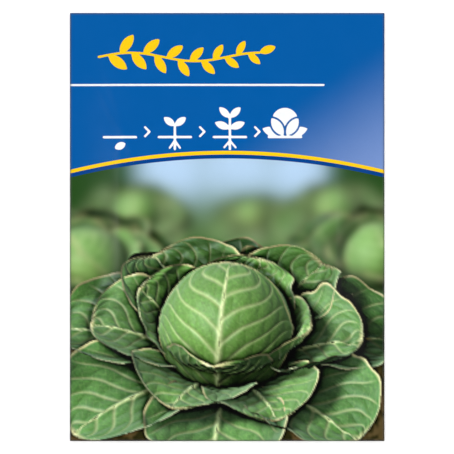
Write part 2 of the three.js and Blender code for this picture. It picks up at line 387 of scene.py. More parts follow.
# share of the light that reaches each seen point: its height towards the light against the highest there
def litShare(points, light, seen):
    side = np.cross(light, (0, 0, 1))
    side = side / np.linalg.norm(side)
    plane = points @ np.stack([side, np.cross(side, light)], axis=1).astype(np.float32)
    at = np.floor((plane - plane.min(0)) / leafLight["shadowCell"]).astype(int)
    wide, tall = at.max(0) + 1
    towards = points @ light.astype(np.float32)
    top = topmost(at[:, 1] * wide + at[:, 0], towards, wide * tall)
    highest = np.where(top >= 0, towards[top], -1e9)
    share = np.zeros(len(seen))
    for right in leafLight["shadowReach"]:
        for down in leafLight["shadowReach"]:
            row = np.clip(at[seen, 1] + down, 0, tall - 1)
            column = np.clip(at[seen, 0] + right, 0, wide - 1)
            share += 1 - smooth(*leafLight["shadowDepth"], highest[row * wide + column] - towards[seen])
    return share / len(leafLight["shadowReach"]) ** 2


# how open each cell is: less, the further its depth lies behind the mean depth around it, at three sizes
def hollowShade(depth, solid, cell):
    shade = np.zeros_like(depth)
    for radius, strength, reach in leafLight["hollows"]:
        share = np.maximum(blur(solid, radius / cell), 1e-3)
        around = blur(depth * solid, radius / cell) / share
        shade += strength * np.clip((around - depth) / reach, -0.25, 1)
    return np.clip(1 - 1.15 * shade, 0.12, 1.25)


# one cabbage as an image with its cover: the nearest leaf point in each cell, lit by sky and sun
def cabbageImage(cell, draw, place, scale, turn, steps):
    nx = round((garden["right"] - garden["left"]) / cell)
    ny = round((garden["high"] - garden["low"]) / cell)
    points, normals, colours = cabbageRows(draw, steps)
    cos, sin = math.cos(turn), math.sin(turn)
    spin = np.array([[cos, sin, 0], [-sin, cos, 0], [0, 0, 1]], np.float32)
    points, normals = points @ spin * scale, normals @ spin
    tilt = math.radians(garden["tilt"])
    eye = np.array([0, -math.cos(tilt), math.sin(tilt)])
    depth = points @ eye.astype(np.float32)
    column = np.floor((points[:, 0] + place[0] - garden["left"]) / cell).astype(int)
    height = points[:, 2] * math.cos(tilt) + points[:, 1] * math.sin(tilt) + place[1]
    row = np.floor((height - garden["low"]) / cell).astype(int)
    inside = np.flatnonzero((column >= 0) & (column < nx) & (row >= 0) & (row < ny))
    found = topmost(row[inside] * nx + column[inside], depth[inside], nx * ny)
    cover = found >= 0
    seen = inside[found[cover]]
    light = np.array(garden["light"]) / np.linalg.norm(garden["light"])
    lit = litShare(points, light, seen)
    normal = normals[seen] * np.sign(normals[seen] @ eye)[:, None]
    towards = normal @ light
    middle = (light + eye) / np.linalg.norm(light + eye)
    solid = cover.reshape(ny, nx).astype(float)
    behind = np.full(nx * ny, np.percentile(depth[seen], 3))
    behind[cover] = depth[seen]
    hollow = hollowShade(behind.reshape(ny, nx), solid, cell).ravel()[cover]
    skyShare = (0.5 + 0.5 * normal[:, 2]) * hollow
    sunShare = leafLight["sun"] * np.clip(towards, 0, 1) + leafLight["through"] * np.clip(-towards, 0, 1)
    bright = leafLight["sky"] * skyShare + sunShare * lit
    # a waxy bloom, paler and bluer where the leaf turns from the eye
    bloom = leafLight["bloom"] + leafLight["bloomRim"] * (1 - np.clip(normal @ eye, 0, 1)) ** 1.6
    colour = blended(colours[seen], linearOf(leafInks["bloom"]), bloom)
    colour = colour * (bright * (0.3 + 0.7 * np.clip(hollow, 0, 1)))[:, None]
    shine = leafLight["shine"] * np.clip(normal @ middle, 0, 1) ** 20 * lit + leafLight["skyShine"] * skyShare
    image = np.zeros((nx * ny, 3))
    image[cover] = colour + shine[:, None] * linearOf(leafInks["sheen"])
    return image.reshape(ny, nx, 3), solid


# values of an image at points given in cells, by weighing the four cells around each
def sampled(image, row, column):
    row = np.clip(row, 0, image.shape[0] - 1.001)
    column = np.clip(column, 0, image.shape[1] - 1.001)
    i, j = row.astype(int), column.astype(int)
    down, across = row - i, column - j
    upper = blended(image[i, j], image[i, j + 1], across)
    lower = blended(image[i + 1, j], image[i + 1, j + 1], across)
    return blended(upper, lower, down)


# soft patches, each a bell curve of the distance, weighed against each other and an even tone. Below them is
# bare ground: noise blurred at several sizes, each brought to a like spread, from dark to pale
def gardenBackdrop(x, y, cell):
    total, weight = garden["evenWeight"] * linearOf(garden["evenTone"]), garden["evenWeight"]
    for glow, colour, patches in garden["backdrop"].values():
        for px, py, radius in patches:
            reach = garden["patchReach"] * radius
            share = np.exp(-((x - px) ** 2 + (y - py) ** 2) / reach ** 2)[..., None]
            total, weight = total + glow * share * linearOf(colour), weight + share
    soil = garden["soil"]
    noise = np.random.default_rng(soil["draw"]).standard_normal(x.shape)
    crumbs = sum(blur(noise, size / cell) * soil["crumbGain"] * size / cell for size in soil["crumbs"])
    ground = linearOf(soil["dark"]) + linearOf(soil["light"]) * smooth(*soil["relief"], crumbs)[..., None]
    bare = soil["share"] * smooth(soil["top"], soil["top"] - soil["fade"], y)
    return blended(total / weight, ground, bare)


# the whole picture: the backdrop, plants out of focus and one sharp plant in front, developed to display
# values, sharpened by its difference from a blurred copy, spread from a middle tone, and made linear again
def gardenPicture():
    coarse, fine = garden["coarseCell"], garden["fineCell"]
    across = np.arange(garden["left"] + coarse / 2, garden["right"], coarse)
    up = np.arange(garden["low"] + coarse / 2, garden["high"], coarse)
    picture = gardenBackdrop(*np.meshgrid(across, up), coarse)
    for *plant, softness in garden["farPlants"]:
        image, cover = cabbageImage(coarse, *plant, garden["farSteps"])
        soft = np.clip(blur(cover, softness / coarse), 0, 1)[..., None]
        picture = picture * (1 - soft) + garden["farGain"] * blur(image, softness / coarse)
    image, cover = cabbageImage(fine, *garden["nearPlant"], garden["nearSteps"])
    picture = sampled(picture, *((np.indices(cover.shape) + 0.5) * fine / coarse - 0.5))
    soft = np.clip(blur(cover, garden["nearSoftness"]), 0, 1)[..., None]
    picture = picture * (1 - soft) + blur(image, garden["nearSoftness"])
    picture = np.clip(garden["exposure"] * picture, 0, 1) ** (1 / garden["displayPower"])
    picture = picture + garden["sharpen"] * (picture - blur(picture, garden["sharpenRadius"] / fine))
    picture = garden["middle"] + garden["contrast"] * (picture - garden["middle"])
    return np.clip(picture, garden["darkest"], 1) ** garden["displayPower"]


picture = gardenPicture()
print("garden picture painted")


# colour of the picture at a place on the panel, in millimetres
def pictureAt(x, y):
    cell = garden["fineCell"]
    return sampled(picture, (y - garden["low"]) / cell - 0.5, (x - garden["left"]) / cell - 0.5)


# Flat shapes in ink, each as a distance in millimetres that is negative inside

# the distance from the centre, less the radius
def disc(x, y, cx, cy, radius):
    return np.hypot(x - cx, y - cy) - radius


# a stroke along straight runs between points: the least distance to any run, less half the stroke's width
def stroke(x, y, points, half):
    least = np.full(np.shape(x), np.inf)
    for (ax, ay), (bx, by) in zip(points[:-1], points[1:]):
        dx, dy = bx - ax, by - ay
        share = np.clip(((x - ax) * dx + (y - ay) * dy) / (dx * dx + dy * dy), 0, 1)
        least = np.minimum(least, np.hypot(x - ax - share * dx, y - ay - share * dy))
    return least - half


# a leaf from its foot along a direction: where two equal discs overlap
def leafShape(x, y, foot, degrees, length, width):
    turn = math.radians(degrees)
    dx, dy = x - foot[0], y - foot[1]
    along = dx * math.cos(turn) + dy * math.sin(turn) - length / 2
    across = np.abs(dy * math.cos(turn) - dx * math.sin(turn))
    radius = (length ** 2 / 4 + width ** 2 / 4) / width
    tip = np.hypot(np.abs(along) - length / 2, across)
    offset = radius - width / 2
    nearTip = (np.abs(along) - length / 2) * offset > across * length / 2
    return np.where(nearTip, tip, np.hypot(along, across + offset) - radius)


# a drop: a disc drawn out to a point above it
def dropShape(x, y, cx, cy, radius, tall):
    across, up = np.abs(x - cx), y - cy
    lean = radius / tall
    upright = math.sqrt(1 - lean * lean)
    share = upright * up - lean * across
    side = upright * across + lean * up - radius
    above = np.where(share > upright * tall, np.hypot(across, up - tall), side)
    return np.where(share < 0, np.hypot(across, up) - radius, above)


# shapes as one: the least of their distances
def joined(*shapes):
    return np.minimum.reduce(shapes)


# Front panel's design: a blue head with an arched lower edge, a sprig, a rule and four stages of growth

frontDesign = dict(
    blue="#0059a3", yellow="#f9cb15", navy="#003f88", white="#f4f6f6",
    # the blue pales to the right and downwards: by how much of each, from which height over which depth
    haze=dict(ink="#7894cc", across=0.75, down=0.65, top=55.0, depth=35.0, range=(0.45, 1.45)),
    archTop=27.0, archSides=20.0, archSoft=0.3, yellowLine=1.35, navyLine=1.5,
    # angles in degrees. The leaves swing with the stem, and shrink by that share towards its tip
    sprig=dict(left=-48.0, right=12.0, level=63.5, wave=1.6, turns=1.25, steps=24, half=0.42,
               leaves=13, firstLeaf=0.06, lastLeaf=0.93, lean=48, swing=12, leafLength=9.0, leafWidth=3.9,
               shrink=0.35, tipLeaf=(20, 6.5, 3.0)),
    rule=dict(left=-80.0, right=36.0, level=53.0, half=0.38),
)
# each stage is drawn about the middle of its line of ground. Pairs of leaves: level, lean, length, width
stages = dict(
    first=-40.0, pitch=20.5, level=33.5, reach=6.0, half=0.45,
    chevron=[(-0.9, 3.7), (0.8, 2.0), (-0.9, 0.3)], chevronHalf=0.4,
    seed=((-1.9, -4.2), 25, 4.4, 2.7),  # foot, direction, length, width
    sprout=dict(top=4.5, pairs=[(4.2, 52, 5.2, 2.6)], rootLean=35),
    seedling=dict(top=7.4, pairs=[(3.2, 68, 6.0, 2.8), (7.2, 45, 5.6, 2.6)], rootLean=40),
    stemFoot=-4.5, rootStart=(0.2, -1.6), rootLength=3.0, rootHalf=0.38,
    headLeafFoot=(0.6, 0.6), headLeaves=[(72, 8.2, 3.6), (34, 7.8, 3.6)],
    ball=(6.0, 4.9), gap=0.7,  # level and radius of the head, and the clear line round its leaves
)


# height of the head's lower edge: a parabola
def archLevel(x):
    rise = frontDesign["archTop"] - frontDesign["archSides"]
    return frontDesign["archSides"] + rise * (1 - (x / garden["right"]) ** 2)


# a waving stem with leaves to both sides that get smaller towards the tip
def sprigShape(x, y):
    sprig = frontDesign["sprig"]
    span = sprig["right"] - sprig["left"]
    angle = 2 * math.pi * sprig["turns"]
    along = np.linspace(0, 1, sprig["steps"] + 1)
    stemX = sprig["left"] + span * along
    stemY = sprig["level"] + sprig["wave"] * np.sin(angle * along)
    shapes = [stroke(x, y, list(zip(stemX, stemY)), sprig["half"])]
    for i, share in enumerate(np.linspace(sprig["firstLeaf"], sprig["lastLeaf"], sprig["leaves"])):
        foot = (sprig["left"] + span * share, float(np.interp(share, along, stemY)))
        size = 1 - sprig["shrink"] * share
        degrees = sprig["lean"] * (1 if i % 2 else -1) + sprig["swing"] * math.cos(angle * share)
        shapes.append(leafShape(x, y, foot, degrees, size * sprig["leafLength"], size * sprig["leafWidth"]))
    shapes.append(leafShape(x, y, (stemX[-1], stemY[-1]), *sprig["tipLeaf"]))
    return joined(*shapes)


# a pair of leaves that lean away from the upright to both sides: one leaf and its mirror image
def leafPair(x, y, foot, lean, length, width):
    return joined(*(leafShape(side * x, y, foot, 90 - lean, length, width) for side in (1, -1)))


# a stem with pairs of leaves, and two straight roots below the ground
def youngPlant(x, y, top, pairs, rootLean):
    startX, startY = stages["rootStart"]
    lean, reach = math.radians(rootLean), stages["rootLength"]
    root = [(startX, startY), (startX + reach * math.sin(lean), startY - reach * math.cos(lean))]
    shapes = [stroke(x, y, [(0, stages["stemFoot"]), (0, top)], stages["half"])]
    shapes += [stroke(side * x, y, root, stages["rootHalf"]) for side in (1, -1)]
    shapes += [leafPair(x, y, (0, level), *leaf) for level, *leaf in pairs]
    return joined(*shapes)


# a ball behind two pairs of leaves, each part kept clear of the leaves in front of it
def grownHead(x, y):
    wide, near = (leafPair(x, y, stages["headLeafFoot"], *leaf) for leaf in stages["headLeaves"])
    behind = [(wide, near), (disc(x, y, 0, *stages["ball"]), joined(wide, near))]
    return joined(near, *(np.maximum(part, stages["gap"] - front) for part, front in behind))


# seed, sprout, seedling and grown head, each over a short line of ground, with chevrons between them
def stageShapes(x, y):
    up = y - stages["level"]
    right = [x - stages["first"] - i * stages["pitch"] for i in range(4)]
    shapes = [leafShape(right[0], up, *stages["seed"]), youngPlant(right[1], up, **stages["sprout"]),
              youngPlant(right[2], up, **stages["seedling"]), grownHead(right[3], up)]
    ground = [(-stages["reach"], 0), (stages["reach"], 0)]
    shapes += [stroke(place, up, ground, stages["half"]) for place in right]
    shapes += [stroke(place - stages["pitch"] / 2, up, stages["chevron"], stages["chevronHalf"])
               for place in right[:-1]]
    return joined(*shapes)


# colour and ink distances of the front's print at places on the panel
def frontPrint(x, y):
    haze, rule = frontDesign["haze"], frontDesign["rule"]
    paleness = haze["across"] * x / garden["right"] + haze["down"] * (haze["top"] - y) / haze["depth"]
    blue = blended(linearOf(frontDesign["blue"]), linearOf(haze["ink"]), smooth(*haze["range"], paleness))
    above = y - archLevel(x)
    soft = frontDesign["archSoft"]
    colour = blended(pictureAt(x, y), blue, smooth(-soft, soft, above))
    yellow, navy = frontDesign["yellowLine"] / 2, frontDesign["navyLine"] / 2
    white = stroke(x, y, [(rule["left"], rule["level"]), (rule["right"], rule["level"])], rule["half"])
    return dict(inkTone=colour, yellowInk=joined(np.abs(above - yellow) - yellow, sprigShape(x, y)),
                navyInk=np.abs(above + navy) - navy, whiteInk=joined(white, stageShapes(x, y)))


# The folded paper, in millimetres

low, high = (np.array(corner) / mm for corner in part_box("paper_packet"))
packet = dict(
    width=high[0] - low[0], height=high[1] - low[1], thick=high[2] - low[2],
    paper=0.15, glue=0.10, edge=1.3, crownPower=4, swellCentre=-20.0,
    sideFlap=12.0, sideFlapTrim=7.0, closingFlap=22.0, closingTrim=5.0, closingLine=(4.0, 0.5),
    shortfall=1.5, jog=5.0, jogClearance=1.0,
    frontCell=0.46, backCell=0.43, flapCell=0.6, foldSteps=4, skip=8, flapSkip=2,
    ripple=0.10, rippleCount=9, rippleLengths=(14, 45), settle=0.25, fadePower=8, draw=5,
    sealRidge=0.07, sealRound=3.0, sealWidth=1.8,
    # pulls of the paper: height, half width, where they start about the sachet and end, and shifts aside
    tension=0.06, pullWidth=1.5, pullFoot=(36, 44), pullTip=(57, 78), pullShifts=(-4, 3),
)
sachet = dict(width=80.0, height=96.0, centre=-16.0, film=0.10, seal=7.0, swell=3.5, crownPower=6, cell=0.8,
              crimpPitch=1.6, crimpDepth=0.05, crimpFrom=0.97,
              crease=0.16, creaseCount=6, creaseLengths=(9, 26), draw=9)

pitch = packet["paper"] + packet["glue"]
edgeLevel = packet["edge"] - packet["paper"] / 2
swell = packet["thick"] - packet["edge"]
endRadius = (edgeLevel - packet["paper"] / 2) / 2
halfHeight = (packet["height"] - packet["paper"]) / 2 - endRadius
flapEdge = halfHeight - packet["closingFlap"]
jogEnd = flapEdge - packet["jogClearance"]


# middle of the back panel's paper: on the floor, and a layer higher inside the closing flap
def backLevel(y):
    return packet["paper"] / 2 + pitch * smooth(jogEnd - packet["jog"], jogEnd, y)


# radius of a side fold: half the height from the side flap, one layer over the back, to the front
def sideRadius(y):
    return (edgeLevel - backLevel(y) - pitch) / 2


# half the front's flat width: what the folds leave of the packet's
def halfWidth(y):
    return (packet["width"] - packet["paper"]) / 2 - sideRadius(y)


# 1 in the middle, 0 with no slope at -1 and 1, and nearly flat between
def crown(share, power):
    return (1 - np.minimum(1, np.abs(share)) ** power) ** 2


# height of the front's middle surface: the swell of the contents, ripples of the paper, a low ridge over the
# sachet's sealed edge, and faint pulls from its corners to the packet's corners, all fading to the folds
def frontHeight(x, y):
    across = x / halfWidth(y)
    centre = packet["swellCentre"] * (1 - (y / halfHeight) ** 2)
    power = packet["crownPower"]
    rise = swell * crown(across, power) * crown((y - centre) / halfHeight, power)
    rng = np.random.default_rng(packet["draw"])
    fade = crown(across, packet["fadePower"]) * crown(y / halfHeight, packet["fadePower"])
    ripple = packet["ripple"] * waves(rng, x, y, packet["rippleCount"], *packet["rippleLengths"])
    # distance to the sachet's outline, a rectangle with round corners
    outX = np.abs(x) - sachet["width"] / 2 + packet["sealRound"]
    outY = np.abs(y - sachet["centre"]) - sachet["height"] / 2 + packet["sealRound"]
    outside = np.hypot(np.maximum(outX, 0), np.maximum(outY, 0))
    edge = outside + np.minimum(np.maximum(outX, outY), 0) - packet["sealRound"]
    ridge = packet["sealRidge"] * np.exp(-(edge / packet["sealWidth"]) ** 2)
    (footX, footY), (tipX, tipY) = packet["pullFoot"], packet["pullTip"]
    pull = 0
    for sideX in (-1, 1):
        for sideY in (-1, 1):
            for shift in packet["pullShifts"]:
                line = stroke(x, y, [(sideX * footX, sachet["centre"] + sideY * footY),
                                     (sideX * (tipX + shift), sideY * (tipY - shift))], 0)
                pull = pull + np.exp(-(line / packet["pullWidth"]) ** 2)
    return edgeLevel + rise + fade * (ripple + ridge + packet["tension"] * pull - packet["settle"])


# heights on a sheet's texture of its three bands
bakeMap = dict(outer=(0.066, 0.996), rim=(0.05, 0.058), inner=(0.004, 0.044))


# a closed sheet from a grid of its middle surface: the outer face at full detail, the inner one with every
# few lines, and a rim between. Where the ends of the grid are folds, the inner face keeps more lines there
def sheetFaces(points, thickness, skip, folds=0):
    rows, columns = points.shape[:2]
    count = rows * columns
    offset = normalsOf(points) * thickness / 2
    number = np.arange(count).reshape(rows, columns)
    down, across = np.arange(rows), np.arange(columns)

    # lines of the inner face: every second one in the folds, and every few between
    def keptLines(total):
        near = np.arange(0, folds + 1, 2)
        return np.unique(np.concatenate([near, np.arange(folds, total - folds, skip), total - 1 - near]))

    # faces between chosen lines, with the numbers of one side of the sheet
    def quads(atRows, atColumns, first):
        index = number[np.ix_(atRows, atColumns)] + first
        corners = [index[:-1, :-1], index[1:, :-1], index[1:, 1:], index[:-1, 1:]]
        return np.stack(corners, axis=-1).reshape(-1, 4)

    someRows, someColumns = keptLines(rows), keptLines(columns)
    outer = quads(down, across, 0)
    inner = quads(someRows, someColumns, count)[:, ::-1]
    # round the edge: down the left side, along the bottom, up the right side and back along the top
    pathRow = np.concatenate([down, 0 * across[1:] + rows - 1, down[-2::-1], 0 * across[1:]])
    pathColumn = np.concatenate([0 * down, across[1:], 0 * down[1:] + columns - 1, across[-2::-1]])
    around = number[pathRow, pathColumn]
    stops = np.flatnonzero(np.isin(pathRow, someRows) & np.isin(pathColumn, someColumns))
    runs = list(zip(stops[:-1], stops[1:]))
    rim = [[*around[start:end + 1][::-1], around[start] + count, around[end] + count] for start, end in runs]
    used = np.unique(np.concatenate([outer.ravel(), inner.ravel()]))
    renamed = np.zeros(2 * count, int)
    renamed[used] = np.arange(len(used))
    faces = renamed[outer].tolist() + renamed[inner].tolist() + [renamed[face].tolist() for face in rim]
    vertices = np.concatenate([points + offset, points - offset]).reshape(-1, 3)[used]
    # texture places: nearly all of the map for the outer face, narrow bands for the rim and the inner face
    spots = []
    for index, band in ((outer.ravel(), bakeMap["outer"]), (inner.ravel() - count, bakeMap["inner"])):
        height = np.interp(1 - index // columns / (rows - 1), (0, 1), band)
        spots.append(np.stack([index % columns / (columns - 1), height], axis=-1))
    share = np.linspace(0, 1, len(around))
    below, above = bakeMap["rim"]
    along = [[*share[start:end + 1][::-1], share[start], share[end]] for start, end in runs]
    height = [[above] * (end - start + 1) + [below] * 2 for start, end in runs]
    spots.append(np.stack([np.concatenate(along), np.concatenate(height)], axis=-1))
    return dict(vertices=vertices, faces=faces, source=used % count, outside=used < count,
                spots=np.concatenate(spots))


# steps of a length, no longer than about a cell
def evenly(start, end, cell):
    return np.linspace(start, end, max(2, round(abs(end - start) / cell) + 1))


# reach of the pressed folds, how dark the painted shade on them is and how dull their varnish, and the sizes
# and ranges of the paper's unevenness
paperFinish = dict(bare="#efede6", foldLine=0.5, foldShade=0.75, foldDull=0.65, inkEdge=0.06, noInk=9.0,
                   fibre=0.5, cloud=7.0, mottle=(0.98, 1.02), satin=(0.20, 0.26), relief=0.02)


# ink attributes of a sheet's points: the print outside and bare paper inside
def sheetInk(printed, source, outside):
    ink = {}
    for key, grid in printed.items():
        if grid.ndim == 3:
            values = np.where(outside[:, None], grid.reshape(-1, 3)[source], linearOf(paperFinish["bare"]))
            ink[key] = np.concatenate([values, np.ones((len(values), 1))], axis=1)
        else:
            # the inner face gets no painted fold shade
            blank = 0.0 if key == "foldShadeAndDull" else paperFinish["noInk"]
            ink[key] = np.where(outside, grid.ravel()[source], blank)
    return ink


# painted shade and dull varnish on the folds: 1 on a folded edge, falling off as a bell curve of its
# distance. The shade darkens the colour where the paper turns away from the light
def foldShadeAndDull(x, y):
    side = packet["width"] / 2 - np.abs(x)
    end = packet["height"] / 2 - np.abs(y)
    return np.exp(-(np.minimum(side, end) / paperFinish["foldLine"]) ** 2)


# a sheet of the packet's paper from a grid of its middle surface and its print there
def paperPiece(name, points, printed, material, skip, folds=0):
    # painted shade along the folds, which also dulls the varnish there, goes with the print
    shadedPrint = dict(printed, foldShadeAndDull=foldShadeAndDull(points[..., 0], points[..., 1]))
    sheet = sheetFaces(points, packet["paper"], skip, folds)
    ink = sheetInk(shadedPrint, sheet["source"], sheet["outside"])
    return newPiece(name, sheet["vertices"], sheet["faces"], material, "paper_packet", ink,
                    sheet["spots"])


# coated paper, offset printed: dense even inks under a satin varnish, with faint fibre relief and a slight
# mottle. Along the pressed folds shade is painted into the colour, darker where the paper turns away from the
# light, and the varnish is dull. Each ink ends at a distance of 0
def printedPaper(name, inks):
    material, tree = newMaterial(name)
    place = addNode(tree, "TexCoord").outputs["Object"]
    colour = addNode(tree, "Attribute", attribute_name="inkTone").outputs["Color"]
    edge = paperFinish["inkEdge"]
    for key, hexColour in inks:
        distance = addNode(tree, "Attribute", attribute_name=key).outputs["Fac"]
        cover = addNode(tree, "MapRange", {"Value": distance, "From Min": edge, "From Max": -edge})
        colour = addNode(tree, "Mix", {0: cover.outputs["Result"], 6: colour, 7: inkOf(hexColour)},
                         data_type="RGBA").outputs[2]
    fibre = addNode(tree, "TexNoise", {"Vector": place, "Scale": 1 / (paperFinish["fibre"] * mm),
                                       "Detail": 4.0, "Roughness": 0.6}).outputs["Fac"]
    cloud = addNode(tree, "TexNoise", {"Vector": place, "Scale": 1 / (paperFinish["cloud"] * mm),
                                       "Detail": 2.0}).outputs["Fac"]
    uneven = addNode(tree, "Math", {0: cloud, 1: fibre}, operation="ADD").outputs[0]
    mottle, satin = (addNode(tree, "MapRange", {"Value": uneven, "From Min": 0.6, "From Max": 1.4,
                                                "To Min": least, "To Max": most}).outputs["Result"]
                     for least, most in (paperFinish["mottle"], paperFinish["satin"]))
    # painted shade: the colour darkened along the folds where the paper turns away from the light; the same
    # share dulls the varnish
    shadeAndDullShare = addNode(tree, "Attribute", attribute_name="foldShadeAndDull").outputs["Fac"]
    shade = addNode(tree, "MapRange", {"Value": shadeAndDullShare, "To Min": 1.0, "To Max": 1 - paperFinish["foldShade"]})
    value = addNode(tree, "Math", {0: mottle, 1: shade.outputs["Result"]}, operation="MULTIPLY").outputs[0]
    colour = addNode(tree, "HueSaturation", {"Value": value, "Color": colour}).outputs["Color"]
    gloss = addNode(tree, "Math", {0: shadeAndDullShare, 1: paperFinish["foldDull"], 2: satin}, operation="MULTIPLY_ADD")
    relief = addNode(tree, "Bump", {"Height": fibre, "Strength": 0.12,
                                    "Distance": paperFinish["relief"] * mm})
    shader = addNode(tree, "BsdfPrincipled",
                     {"Base Color": colour, "Roughness": gloss.outputs[0], "Normal": relief.outputs["Normal"],
                      "IOR": 1.5, "Specular IOR Level": 0.3})
    addNode(tree, "OutputMaterial", {"Surface": shader.outputs["BSDF"]})
    return material


frontPaper = printedPaper("offsetPrintedCoatedPaper", [
    (ink + "Ink", frontDesign[ink]) for ink in ("navy", "yellow", "white")])

# angles of half a fold, from the flat to the crest, and on from the crest to the folded layer
quarter = np.linspace(0, math.pi / 2, packet["foldSteps"] + 1)
onward = math.pi / 2 + quarter


# Front panel: the flat between the folds and, on all four sides, the fold as far as its crest

def frontPanel():
    fold, cell = packet["foldSteps"], packet["frontCell"]
    shares = evenly(-1, 1, cell / halfWidth(0.0))
    levels = evenly(halfHeight, -halfHeight, cell)
    share = np.concatenate([[-1] * fold, shares, [1] * fold])[None, :]
    y = np.concatenate([[halfHeight] * fold, levels, [-halfHeight] * fold])[:, None]
    turnX = np.concatenate([-quarter[:0:-1], 0 * shares, quarter[1:]])[None, :]
    turnY = np.concatenate([quarter[:0:-1], 0 * levels, -quarter[1:]])[:, None]
    x, radius = share * halfWidth(y), sideRadius(y)
    # where two folds meet, the corner drops by both falls, added at right angles
    fall = np.hypot(radius * (1 - np.cos(turnX)), endRadius * (1 - np.cos(turnY)))
    points = np.stack(np.broadcast_arrays(
        x + radius * np.sin(turnX), y + endRadius * np.sin(turnY), frontHeight(x, y) - fall), axis=-1)
    # the print is laid out along the paper, round the folds
    printed = frontPrint(x + radius * turnX, np.broadcast_to(y + endRadius * turnY, x.shape))
    return paperPiece("front_panel", points, printed, frontPaper, packet["skip"], fold)


frontPanel()


# Side flaps: from the crest of the fold round and in, under the front, narrower towards their free edge

def sideFlap(name, side):
    flap = evenly(0, packet["sideFlap"], packet["flapCell"])
    turn = np.concatenate([onward, 0 * flap[1:] + math.pi])[None, :]
    inward = np.concatenate([0 * quarter, flap[1:]])[None, :]
    y = evenly(halfHeight, -halfHeight, packet["flapCell"])[:, None]
    y = y * (1 - packet["sideFlapTrim"] / halfHeight * inward / packet["sideFlap"])
    radius, edge = sideRadius(y), halfWidth(y)
    points = np.stack(np.broadcast_arrays(side * (edge + radius * np.sin(turn) - inward), y,
                                          edgeLevel + radius * (np.cos(turn) - 1)), axis=-1)
    printed = frontPrint(side * (edge + radius * turn + inward), y)
    if side < 0:
        points = points[:, ::-1]
        printed = {key: grid[:, ::-1] for key, grid in printed.items()}
    return paperPiece(name, points, printed, frontPaper, packet["flapSkip"])


sideFlap("right_side_flap", 1)
sideFlap("left_side_flap", -1)


# Closing flap: from the crest of the top fold round and down the back, with slanted sides and a yellow line

def closingFlap():
    flap = evenly(0, packet["closingFlap"], packet["flapCell"])
    turn = np.concatenate([onward, 0 * flap[1:] + math.pi])[:, None]
    down = np.concatenate([0 * quarter, flap[1:]])[:, None]
    half = halfWidth(halfHeight) - packet["closingTrim"] * down / packet["closingFlap"]
    x = evenly(1, -1, packet["flapCell"] / half.max())[None, :] * half
    y = halfHeight + endRadius * np.sin(turn) - down
    points = np.stack(np.broadcast_arrays(x, y, edgeLevel + endRadius * (np.cos(turn) - 1)), axis=-1)
    printed = frontPrint(x, np.broadcast_to(halfHeight + endRadius * turn + down, x.shape))
    inset, halfLine = packet["closingLine"]
    fromLine = np.abs(down - packet["closingFlap"] + inset)
    printed["yellowInk"] = np.broadcast_to(fromLine - halfLine, x.shape)
    return paperPiece("closing_flap", points, printed, frontPaper, packet["flapSkip"])


closingFlap()


# Back panel: a sowing calendar, four signs and an empty stamp box in flat inks on white

backDesign = dict(
    paper="#f3f1e8", blue="#0b5aa3", green="#5f9a45", yellow="#f2c31c", rust="#c8763a",
    bleed=3.0,  # how far the front's picture runs round the bottom fold
    months=dict(left=-50.4, width=8.4, level=32.0, tall=8.0, digit=4.2, step=0.8, stroke=0.33, line=0.25),
    # ink, first and last month, level
    bars=[("green", 2, 5, 25.0), ("yellow", 4, 7, 18.5), ("rust", 7, 11, 12.0)], barHalf=1.9, barInset=0.35,
    # four signs, each drawn about the middle of its ring
    signs=dict(
        first=-40.5, pitch=27.0, level=-13.0, radius=10.0, half=0.4,
        sun=3.0, rays=(4.4, 6.6),  # radius of the disc, and of both ends of the rays
        drop=(-1.8, 3.5, 7.8),  # level, radius and height
        plants=(-3.9, 3.9), stem=(-2.6, 2.2), leafLevel=1.9, leaf=(48, 4.0, 2.0),
        spacing=dict(start=(-4.7, -4.4), end=(4.7, -4.4), barb=1.1, inset=0.1, half=0.3),
        ground=[(-6.5, 1.2), (6.5, 1.2)], seed=((0.2, -4.6), 18, 5.0, 3.0),
        depth=dict(start=(-3.5, 0.6), end=(-3.5, -5.0), barb=1.2, inset=0.2, half=0.3),
    ),
    stampBox=dict(left=-50.4, right=50.4, top=-40.0, bottom=-66.0, half=0.3),
    # rows are closer where the digits and the signs are: cells of each band from the top, and its margin
    rowCells=(1.5, 0.6, 1.4, 0.9, 1.4), rowMargin=1.0,
)
# strokes of the digits in a box 0.6 wide and 1 high
digitStrokes = {
    "0": [(0, 0.25), (0, 0.75), (0.3, 1), (0.6, 0.75), (0.6, 0.25), (0.3, 0), (0, 0.25)],
    "1": [(0.1, 0.78), (0.36, 1), (0.36, 0)],
    "2": [(0, 0.8), (0.3, 1), (0.58, 0.78), (0.5, 0.5), (0, 0), (0.6, 0)],
    "3": [(0.02, 0.9), (0.3, 1), (0.57, 0.77), (0.28, 0.53), (0.6, 0.26), (0.3, 0), (0, 0.12)],
    "4": [(0.45, 0), (0.45, 1), (0, 0.3), (0.62, 0.3)],
    "5": [(0.55, 1), (0.1, 1), (0.05, 0.55), (0.35, 0.62), (0.6, 0.3), (0.3, 0), (0, 0.1)],
    "6": [(0.5, 1), (0.12, 0.62), (0, 0.28), (0.3, 0), (0.6, 0.28), (0.3, 0.55), (0.04, 0.38)],
    "7": [(0, 1), (0.6, 1), (0.2, 0)],
    "8": [(0.3, 0.53), (0.05, 0.77), (0.3, 1), (0.55, 0.77), (0.3, 0.53), (0, 0.26), (0.3, 0),
          (0.6, 0.26), (0.3, 0.53)],
    "9": [(0.1, 0), (0.48, 0.38), (0.6, 0.72), (0.3, 1), (0, 0.72), (0.3, 0.45), (0.56, 0.62)],
}


